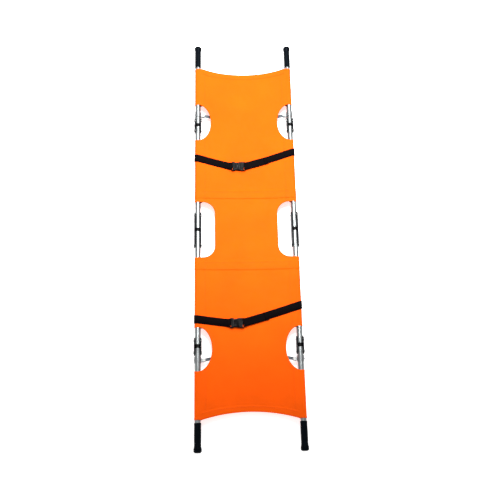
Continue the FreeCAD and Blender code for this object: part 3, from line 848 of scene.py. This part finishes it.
weave = Weave()
for side in (-1, 1):
    for mirror in (-1, 1):
        for path in hole_line(side, 0, MID_PIVOT, mirror):
            stitch_row(weave, path)
add_stitches("stitches_middle", "left_middle_link", weave)


# ---------------------------------------- straps


def band(weave, centres, cross, width, thick):
    """A woven band along its middle line, closed, with rounded edges."""
    half, up = width / 2, thick / 2
    flat = half - 0.3 * up
    section = [(-flat, -up), (0, -up), (flat, -up), (half, 0), (flat, up)]
    section += [(half / 2, up), (0, up), (-half / 2, up), (-flat, up), (-half, 0)]
    rows, places, along = [], [], 0
    last = len(centres) - 1
    for k, centre in enumerate(centres):
        along += (centre - centres[k - 1]).length if k else 0
        ahead = (centres[min(k + 1, last)] - centres[max(k - 1, 0)]).normalized()
        rise = cross.cross(ahead).normalized()
        rows.append([centre + cross * a + rise * b for a, b in section])
        places += [(along, a) for a, b in section]
    weave.grid(rows, closed=True, caps=True, places=places)


def strap_level(place):
    """The strap lies on the cloth and on the laps and hems that it crosses."""
    return bed_height(place.x, place.y) + STRAP_LIFT


class Half:
    """One half of a strap: its line in plan, from its pole to its buckle."""

    def __init__(self, end, side):
        socket, plug = BUCKLE_BOX[f"{end}_buckle_socket"], BUCKLE_BOX[f"{end}_buckle_plug"]
        middle = (socket[0].y + socket[1].y) / 2
        slot_x = socket[0].x + SLOT_IN if side < 0 else plug[1].x - SLOT_IN
        self.name = f"{end}_strap_{SIDE_NAME[side]}"
        self.side = side
        self.pole = Vector((side * POLE_X, STRAPS[end][SIDE_NAME[side]], 0))
        self.slot = Vector((slot_x, middle, 0))
        self.direction = (self.slot - self.pole).normalized()
        self.cross = Vector((-self.direction.y, self.direction.x, 0))
        self.length = (self.slot - self.pole).length

    def place(self, reach):
        return self.pole + self.direction * reach

    def level(self, reach, rest, bar_step):
        """From its level at rest on the cloth, the band climbs to a step from the bar."""
        share = smoothstep(reach, self.length - CLIMB, self.length - BAR_IN)
        return rest * (1 - share) + (BAR_LEVEL + bar_step) * share

    def outward(self, start, stop, bar_step, count):
        """The band from the pole's side to the buckle, between two places along it."""
        points = []
        for k in range(count + 1):
            reach = start + (stop - start) * k / count
            place = self.place(reach)
            rest = strap_level(place)
            if reach < OVER_POLE:
                over = AXIS_Z + SLEEVE_R + 1.4 * MM - (reach / OVER_POLE) ** 2 * 2 * MM
                rest = max(over, rest - 0.4 * MM)
            place.z = self.level(reach, rest, bar_step)
            points.append(place)
        return points

    def bent(self, turn, count=8):
        """The half turn that the band takes round the buckle's bar."""
        points = []
        for k in range(1, count + 1):
            angle = math.pi * k / count
            place = self.place(self.length - BAR_IN + BAR_BEND * math.sin(angle))
            place.z = BAR_LEVEL - turn * BAR_STEP * math.cos(angle)
            points.append(place)
        return points


def webbing(name, weave):
    return new_object(name, weave.mesh(name, 0), MATERIALS["black_webbing"])


def strap_run(half):
    """From the pole to the buckle: the left half goes round its bar and is sewn to itself,
    and the right half stops under the free end, which the plug carries."""
    start = (RUN_START - RUN_OVERLAP) / abs(half.direction.x)
    if half.side < 0:
        centres = half.outward(start, half.length - BAR_IN, BAR_STEP, 44)
        centres += half.bent(-1)
        count = 24
        for k in range(1, count + 1):
            reach = half.length - BAR_IN - SEWN_BACK * k / count
            place = half.place(reach)
            place.z = half.level(reach, strap_level(place) - SEWN_UNDER, -BAR_STEP)
            centres.append(place)
    else:
        centres = half.outward(start, half.length - RUN_SHORT, -BAR_STEP, 40)
    weave = Weave()
    band(weave, centres, half.cross, STRAP_WIDTH, STRAP_THICK)
    return webbing(f"{half.name}_run", weave)


def strap_tail(half):
    """The right half's free end: over the run, up round the plug's bar and back on top,
    with its tip folded and sewn so that it can't slip out."""
    centres = half.outward(half.length - LEAD, half.length - BAR_IN, -BAR_STEP, 16)
    centres += half.bent(1)
    count = 24
    for k in range(1, count + 1):
        back = k / count
        reach = half.length - BAR_IN - FREE_BACK * back
        place = half.place(reach)
        rest = strap_level(place) + STRAP_THICK + 0.5 * MM + TAIL_ARCH * math.sin(math.pi * back)
        place.z = half.level(reach, rest, BAR_STEP)
        place += half.cross * (TAIL_DRIFT * back**2)
        centres.append(place)
    weave = Weave()
    size = (STRAP_WIDTH + 0.4 * MM, STRAP_THICK + 0.2 * MM)
    band(weave, centres, half.cross, *size)
    tip = centres[-1] + Vector((0, 0, 1.8 * MM))
    fold = [tip - half.direction * (d * MM) for d in (1, -8, -17)]
    band(weave, fold, half.cross, *size)
    return webbing(f"{half.name}_tail", weave)


def strap_loop(half):
    """The band carried round the pole's sleeve, laid flat and rolled on the section."""
    outward = -half.direction
    lean = math.atan2(outward.y, abs(outward.x))
    radius = SLEEVE_R + 2.2 * MM
    top = (LOOP_IN, bed_rise(LOOP_IN) + STRAP_LIFT + 0.5 * MM)
    foot = (LOOP_FOOT, bed_rise(LOOP_FOOT) - 3.2 * MM)
    profile = [Vector((*p, 0)) for p in wrap_path(top, radius, foot, LOOP_TAIL_IN, 40)]
    steps = [0]
    for a, b in zip(profile, profile[1:]):
        steps.append(steps[-1] + (b - a).length)

    def rolled(u, v, lift):
        """A point of the flat band: u outward over the pole, v along it."""
        u = min(max(u, 0), steps[-1] - 1e-6)
        k = next(i for i in range(len(steps) - 1) if steps[i + 1] >= u)
        a, b = profile[k], profile[k + 1]
        tangent = (b - a).normalized()
        normal = Vector((tangent.y, -tangent.x, 0))
        place = a.lerp(b, (u - steps[k]) / (steps[k + 1] - steps[k])) + normal * lift
        return Vector((half.side * (POLE_X - place.x), half.pole.y + v, AXIS_Z + place.y))

    wide, thick = STRAP_WIDTH / 2, (STRAP_THICK + 0.3 * MM) / 2
    section = [(w, -thick) for w in (-wide, 0, wide)] + [(w, thick) for w in (wide, 0, -wide)]
    length = steps[-1] / math.cos(lean)
    end_in, count = 6 * MM, 70
    rows, places = [], []
    for k in range(count + 1):
        s = end_in + (length - 2 * end_in) * k / count
        row = []
        for w, lift in section:
            u = s * math.cos(lean) - w * math.sin(lean)
            v = s * math.sin(lean) + w * math.cos(lean) - LOOP_IN * math.tan(lean)
            row.append(rolled(u, v, -lift))
            places.append((s, w))
        rows.append(row)
    weave = Weave()
    weave.grid(rows, closed=True, flip=half.side < 0, caps=True, places=places)
    return webbing(f"{half.name}_loop", weave)


def box_stitch(half, end):
    """The sewn square that closes the left half's fold beside its buckle."""
    near, far = half.place(half.length - 36 * MM), half.place(half.length - 14 * MM)
    wide = half.cross * (14 * MM)
    corners = [near - wide, near + wide, far + wide, far - wide]
    seam = [*corners, corners[0], corners[2], corners[3], corners[1]]
    count, thread, rise = 6, 0.45 * MM, Vector((0, 0, 0.2 * MM))
    weave = Weave()
    for a, b in zip(seam, seam[1:]):
        for k in range(count):
            ends = []
            for place in (a.lerp(b, k / count + 0.02), a.lerp(b, (k + 0.8) / count + 0.02)):
                reach = (place - half.pole).dot(half.direction)
                place.z = half.level(reach, strap_level(place), BAR_STEP) + STRAP_THICK / 2
                ends.append(place)
            beside = (ends[1] - ends[0]).cross(Vector((0, 0, 1))).normalized() * thread
            rows = [[place - beside, place + rise, place + beside] for place in ends]
            weave.grid(rows, closed=True, caps=True)
    return webbing(f"{end}_strap_box_stitch", weave)


for end in ("front", "rear"):
    for side in (-1, 1):
        body = f"{SIDE_NAME[side]}_{end}_mid"
        half = Half(end, side)
        pieces = [strap_run(half)]
        if side < 0:
            pieces.append(box_stitch(half, end))
            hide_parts(f"{end}_strap")
        for piece in pieces:
            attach(piece, body)
            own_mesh(piece)
        loop = strap_loop(half)
        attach(loop, body)
    tail = strap_tail(half)
    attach(tail, f"{end}_buckle_plug")
    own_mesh(tail)


# ---------------------------------------- buckles

# how far the socket reaches to the left of the buckle's middle
SOCKET_REACH = 33 * MM


def block(origin, outline, low, high):
    """A block over a flat outline: all in mm, about the buckle's middle and from its underside."""
    bottom, top = BUCKLE_LOW + low * MM, BUCKLE_LOW + high * MM
    corners = [(origin.x + x * MM, origin.y + y * MM, bottom) for x, y in outline]
    shape = bmesh.new()
    face = shape.faces.new([shape.verts.new(corner) for corner in corners])
    lifted = bmesh.ops.extrude_face_region(shape, geom=[face])["geom"]
    raised = [v for v in lifted if isinstance(v, bmesh.types.BMVert)]
    bmesh.ops.translate(shape, verts=raised, vec=(0, 0, top - bottom))
    bmesh.ops.recalc_face_normals(shape, faces=shape.faces)
    mesh = bpy.data.meshes.new("block")
    shape.to_mesh(mesh)
    shape.free()
    item = bpy.data.objects.new("block", mesh)
    bpy.context.scene.collection.objects.link(item)
    return item


def oblong(x0, x1, y0, y1):
    return [(x0, y0), (x1, y0), (x1, y1), (x0, y1)]


def combined(base, others, operation):
    for other in others:
        step = base.modifiers.new("join", "BOOLEAN")
        step.operation = operation
        step.solver = "EXACT"
        step.object = other
    applied(base)
    for other in others:
        bpy.data.objects.remove(other)


def softened(item, name, radius):
    edge = item.modifiers.new("edge", "BEVEL")
    edge.width = radius
    edge.segments = 3
    edge.limit_method = "ANGLE"
    edge.angle_limit = math.radians(35)
    edge.harden_normals = True
    applied(item)
    item.name = name
    item.data.materials.clear()
    item.data.materials.append(MATERIALS["black_plastic"])
    for polygon in item.data.polygons:
        polygon.use_smooth = True
    return item


def mirrored(points):
    """An outline with its other half, mirrored over the buckle's length."""
    return points + [(x, -y) for x, y in reversed(points)]


def bar_cuts(origin, bar_x, slot_x):
    """What is cut away to leave a slim bar for the webbing, with a slot beside it."""
    across = (-19.6, 19.6)
    below, above = -1, 13
    return [
        block(origin, oblong(*slot_x, *across), below, above),
        block(origin, oblong(*bar_x, *across), below, 4.3),
        block(origin, oblong(*bar_x, *across), 7.7, above),
    ]


def ribs(origin, places, reach, low, high):
    """Raised ribs across a buckle, where a thumb presses."""
    return [block(origin, oblong(x - 0.5, x + 0.5, -reach, reach), low, high) for x in places]


def socket_shell(name, origin):
    """The outer half: a hollow shell with side windows and a strap bar."""
    outline = [(9, 21.5), (4, 22.5), (2, 19.5), (-14, 18.5), (-17, 22), (-22, 23), (-33, 22)]
    shell = block(origin, mirrored(outline), 0, 11.4)
    cavity = block(origin, oblong(-18, 10, -17.2, 17.2), 2, 9.6)
    windows = [block(origin, oblong(-14, 1.5, s * 14, s * 26), 2.6, 9) for s in (-1, 1)]
    dish = block(origin, oblong(-13, -1, -9, 9), 10.8, 13)
    cuts = [cavity, dish, *windows, *bar_cuts(origin, (-34, -30), (-31, -27.3))]
    combined(shell, cuts, "DIFFERENCE")
    combined(shell, ribs(origin, (-19, -21.5, -24), 15, 11, 12), "UNION")
    return softened(shell, name, 0.6 * MM)


def plug_shell(name, origin):
    """The inner half: two spring prongs, a guide tongue and a bar for the webbing."""
    rim = [(9.2, 21.5), (13, 22.5), (33, 22.5)]
    shell = block(origin, mirrored(rim), 1, 10.6)
    combined(shell, bar_cuts(origin, (30, 34), (27.3, 31)), "DIFFERENCE")
    parts = ribs(origin, (13, 16, 19, 22), 16, 10, 11.4)
    prong = [(10, 15.5), (1, 15.8), (-1, 17.6), (-10, 17.2), (-13, 13), (-9, 12.2), (10, 11)]
    parts += [block(origin, [(x, s * y) for x, y in prong], 3.2, 8.8) for s in (-1, 1)]
    tongue = [(10, 3.4), (-13, 3.4), (-15, 0), (-13, -3.4), (10, -3.4)]
    parts.append(block(origin, tongue, 3, 9))
    combined(shell, parts, "UNION")
    return softened(shell, name, 0.5 * MM)


for end in ("front", "rear"):
    low, high = BUCKLE_BOX[f"{end}_buckle_socket"]
    origin = Vector((low.x + SOCKET_REACH, (low.y + high.y) / 2, 0))
    for label, make in (("socket", socket_shell), ("plug", plug_shell)):
        node = f"{end}_buckle_{label}"
        piece = make(f"{end}_{label}_shell", origin)
        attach(piece, node)
        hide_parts(node)


# ---------------------------------------- grips


def grip_outline(start, stop):
    """Radius against length: a lip, three rings, a long hold, three rings and a round knob."""
    inner, hold, knob, knob_round = TUBE_R + 0.1 * MM, 16 * MM, 18.5 * MM, 9 * MM
    knob_start = stop - 18 * MM
    round_start = stop - knob_round
    outline = [(start, inner), (start, hold - 1 * MM), (start + 1 * MM, hold + 0.6 * MM)]
    outline += [(start + 4 * MM, hold + 0.6 * MM), (start + 5.5 * MM, hold)]
    for first in (start + 9 * MM, knob_start - 22 * MM):
        for k in range(3):
            at = first + k * 4 * MM
            outline += [(at, hold), (at + 0.6 * MM, hold - 0.8 * MM)]
            outline += [(at + 1.4 * MM, hold - 0.8 * MM), (at + 2 * MM, hold)]
    outline += [(knob_start - 6 * MM, hold), (knob_start - 1 * MM, knob - 0.3 * MM)]
    outline += [(knob_start + 1 * MM, knob), (round_start, knob)]
    steps = 8
    for k in range(1, steps + 1):
        angle = math.pi / 2 * k / steps
        radius = knob - knob_round + knob_round * math.cos(angle)
        outline.append((round_start + knob_round * math.sin(angle), radius))
    outline += [(stop, 4 * MM), (stop - 0.3 * MM, 3 * MM)]
    outline += [(stop - 3 * MM, 2.6 * MM), (stop - 3 * MM, 0.05 * MM)]
    return outline


def grip(name, node, mirror):
    low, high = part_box(node)
    centre = (low + high) / 2
    near, far = sorted((abs(low.y), abs(high.y)))
    turns = 56
    rows = []
    for place, radius in grip_outline(near, far):
        ring = []
        for k in range(turns):
            angle = 2 * math.pi * k / turns
            x, z = centre.x + radius * math.cos(angle), centre.z + radius * math.sin(angle)
            ring.append((x, mirror * place, z))
        rows.append(ring)
    weave = Weave()
    weave.grid(rows, closed=True, flip=mirror > 0)
    piece = new_object(name, weave.mesh(name), MATERIALS["black_rubber"])
    edges = piece.modifiers.new("edge", "SUBSURF")
    edges.levels = edges.render_levels = 1
    return applied(piece)


for side in (-1, 1):
    for end, mirror in (("front", 1), ("rear", -1)):
        node = f"{SIDE_NAME[side]}_{end}_grip"
        piece = grip(f"{node}_sleeve", node, mirror)
        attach(piece, f"{SIDE_NAME[side]}_{end}_end")
        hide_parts(node)


# ---------------------------------------- camera, floor and light

camera = bpy.data.objects.new("camera", bpy.data.cameras.new("camera"))
camera.data.lens = 51.32
camera.data.sensor_width = 36
camera.location = (-0.1083, -1.2382, 3.2664)
camera.rotation_euler = Euler([math.radians(a) for a in (19.383, -1.725, -1.316)], "XYZ")
bpy.context.scene.collection.objects.link(camera)
bpy.context.scene.camera = camera

FLOOR_HALF = 8
WHITE = (1, 1, 1, 1)
GLOW = 0.6


def floor_finish():
    finish = Finish("studio_floor", (1, 1, 1), 0.9, Emission_Color=WHITE, Emission_Strength=GLOW)
    finish.tint(finish.speckle(2), 0.88, 0.92, 0, 1)
    return finish.material


weave = Weave()
weave.grid([[(x, y, 0) for x in (-FLOOR_HALF, FLOOR_HALF)] for y in (-FLOOR_HALF, FLOOR_HALF)])
floor = new_object("floor", weave.mesh("floor", 0), floor_finish())


def add_light(lamp, place, aim):
    """Puts a light at a place, turned to the point that it aims at."""
    item = bpy.data.objects.new(lamp.name, lamp)
    item.location = place
    item.rotation_euler = (Vector(aim) - Vector(place)).to_track_quat("-Z", "Y").to_euler()
    bpy.context.scene.collection.objects.link(item)


def area_light(name, place, aim, size, watts):
    lamp = bpy.data.lights.new(name, "AREA")
    lamp.shape = "DISK"
    lamp.size = size
    lamp.energy = watts
    add_light(lamp, place, aim)


area_light("head_light", (0.2, 1.9, 2.2), (0, 0.6, 0), 1.8, 55)
area_light("side_light", (-1.6, -0.3, 2.4), (0, -0.1, 0), 2.0, 5)
beam = bpy.data.lights.new("beam", "SPOT")
beam.energy = 790
beam.spot_size = math.radians(46)
beam.spot_blend = 0.8
beam.shadow_soft_size = 0.4
add_light(beam, (0.15, 0.9, 3.1), (0, 0.45, 0))
world = bpy.data.worlds.new("studio")
world.use_nodes = True
background = world.node_tree.nodes["Background"]
background.inputs["Color"].default_value = WHITE
background.inputs["Strength"].default_value = GLOW
bpy.context.scene.world = world
bpy.context.scene.view_settings.view_transform = "Standard"
bpy.context.scene.view_settings.look = "None"
